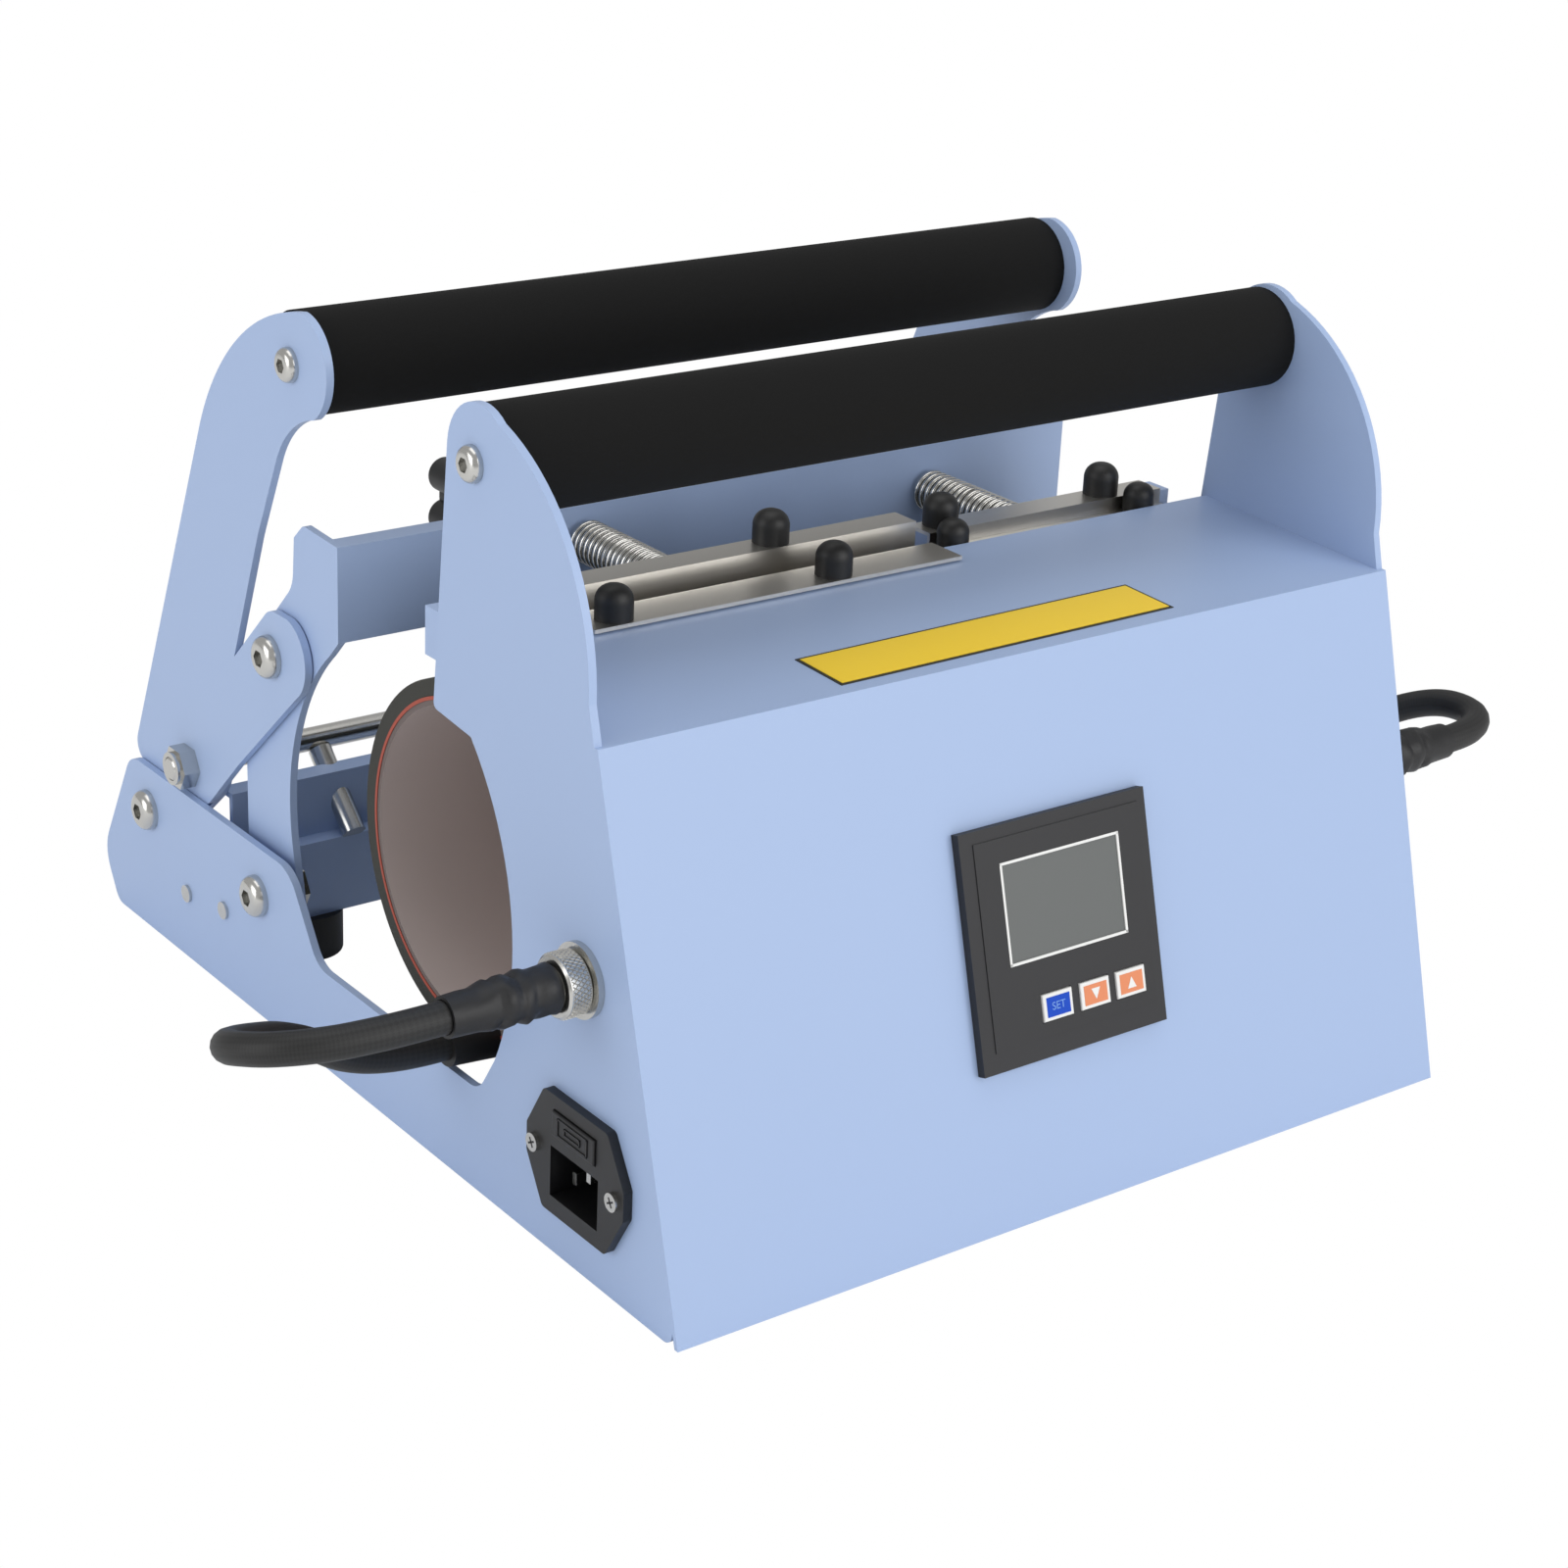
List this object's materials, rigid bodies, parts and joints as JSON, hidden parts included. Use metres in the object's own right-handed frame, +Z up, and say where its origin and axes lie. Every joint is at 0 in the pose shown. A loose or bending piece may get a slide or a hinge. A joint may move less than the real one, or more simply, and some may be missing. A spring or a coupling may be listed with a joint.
{
  "type": "tumbler heat press",
  "caption": "Bench press for drink tumblers: toggle levers close a split heated band in two segments, with foam grips, a sloping control panel and a mains inlet.",
  "frame": {"origin": "centre of the bounding box of the part without its cables, at the bench", "axes": "+X along the grips to the right, -Y the front with the control panel, +Z up"},
  "size_m": [0.4753, 0.3507, 0.2407],
  "materials": {
    "blue_powder_coat": "light blue powder coat, satin",
    "zinc_steel": "bright zinc plate",
    "black_foam": "matte closed-cell foam",
    "black_plastic": "moulded, matte",
    "black_rubber": "matte",
    "grey_silicone": "matte woven silicone",
    "heater_liner": "smooth silicone",
    "window_grey": "semi-matte grey window",
    "orange_key": "gloss",
    "blue_key": "gloss",
    "black_cable": "braided sleeve"
  },
  "bodies": {
    "frame": {"side_plate_left": "blue_powder_coat", "side_plate_right": "blue_powder_coat", "front_cover": "blue_powder_coat", "base_pan": "blue_powder_coat", "rear_cross_member": "blue_powder_coat", "stop_studs": "zinc_steel", "cross_member_rivets": "zinc_steel", "frame_pivot_bolts": "zinc_steel", "pivot_spacers": "zinc_steel", "frame_pivot_nuts": "zinc_steel", "front_grip_tube": "zinc_steel", "front_grip_bolts": "zinc_steel", "front_lips": "zinc_steel", "inlet_screws": "zinc_steel", "inlet_pins": "zinc_steel", "panel_sockets": "zinc_steel", "front_grip_foam": "black_foam", "controller_case": "black_plastic", "inlet_housing": "black_plastic", "heater_relay": "black_plastic", "rubber_feet": "black_rubber", "front_lip_caps": "black_rubber", "plug_boot_left": "black_rubber", "plug_boot_right": "black_rubber", "heater_boots": "black_rubber", "heater_left_front": "grey_silicone", "heater_right_front": "grey_silicone", "heater_front_liners": "heater_liner", "controller_window": "window_grey", "heater_cord_left": "black_cable", "heater_cord_right": "black_cable"},
    "jaw": {"jaw_plate_left": "blue_powder_coat", "jaw_plate_right": "blue_powder_coat", "jaw_panel": "blue_powder_coat", "lever_pivot_bolts": "zinc_steel", "lever_pivot_nuts": "zinc_steel", "heater_left_rear": "grey_silicone", "heater_right_rear": "grey_silicone", "heater_rear_liners": "heater_liner", "rear_lip_bars": "blue_powder_coat", "rear_lip_strips": "zinc_steel", "rear_lip_caps": "black_rubber", "lip_springs": "zinc_steel"},
    "lever": {"lever_left": "blue_powder_coat", "lever_right": "blue_powder_coat", "tie_rod": "zinc_steel", "tie_rod_nuts": "zinc_steel", "rear_grip_tube": "zinc_steel", "rear_grip_foam": "black_foam", "rear_grip_bolts": "zinc_steel"},
    "links": {"link_left": "blue_powder_coat", "link_right": "blue_powder_coat"},
    "left_knob": {"star_knob_left": "black_plastic"},
    "right_knob": {"star_knob_right": "black_plastic"},
    "set_key": {"set_button": "blue_key"},
    "down_key": {"down_button": "orange_key"},
    "up_key": {"up_button": "orange_key"},
    "fuse_holder": {"fuse_drawer": "black_plastic"},
    "left_ring": {"coupling_ring_left": "zinc_steel"},
    "right_ring": {"coupling_ring_right": "zinc_steel"}
  },
  "joints": [
    {"name": "jaw_swing", "type": "hinge", "parent": "frame", "child": "jaw", "pos_m": [0, 0.063, 0.043], "axis": [-1, 0, 0], "range_deg": [0, 9]},
    {"name": "lever_swing", "type": "hinge", "parent": "jaw", "child": "lever", "pos_m": [0, 0.057, 0.1265], "axis": [1, 0, 0], "range_deg": [0, 19.01]},
    {"name": "link_swing", "type": "hinge", "parent": "frame", "child": "links", "pos_m": [0, 0.141, 0.0445], "axis": [-1, 0, 0], "range_deg": [0, 40]},
    {"name": "left_knob_turn", "type": "hinge", "parent": "jaw", "child": "left_knob", "pos_m": [-0.0556, 0.06, 0.161], "axis": [0, 1, 0], "range_deg": [-180, 180]},
    {"name": "right_knob_turn", "type": "hinge", "parent": "jaw", "child": "right_knob", "pos_m": [0.0836, 0.06, 0.157], "axis": [0, 1, 0], "range_deg": [-180, 180]},
    {"name": "set_press", "type": "slide", "parent": "frame", "child": "set_key", "axis": [0, 0.9613, -0.2755], "range_m": [0, 0.0006], "stiffness_N_per_m": 400},
    {"name": "down_press", "type": "slide", "parent": "frame", "child": "down_key", "axis": [0, 0.9613, -0.2755], "range_m": [0, 0.0006], "stiffness_N_per_m": 400},
    {"name": "up_press", "type": "slide", "parent": "frame", "child": "up_key", "axis": [0, 0.9613, -0.2755], "range_m": [0, 0.0006], "stiffness_N_per_m": 400},
    {"name": "fuse_slide", "type": "slide", "parent": "frame", "child": "fuse_holder", "axis": [-1, 0, 0], "range_m": [0, 0.018]},
    {"name": "left_ring_turn", "type": "hinge", "parent": "frame", "child": "left_ring", "pos_m": [-0.156, -0.125, 0.092], "axis": [1, 0, 0], "range_deg": [-180, 180]},
    {"name": "right_ring_turn", "type": "hinge", "parent": "frame", "child": "right_ring", "pos_m": [0.156, -0.125, 0.092], "axis": [1, 0, 0], "range_deg": [-180, 180]}
  ],
  "couplings": [
    {"joint": "jaw_swing", "follows": "lever_swing", "ratio": 0.4729},
    {"joint": "link_swing", "follows": "lever_swing", "ratio": 2.104}
  ]
}
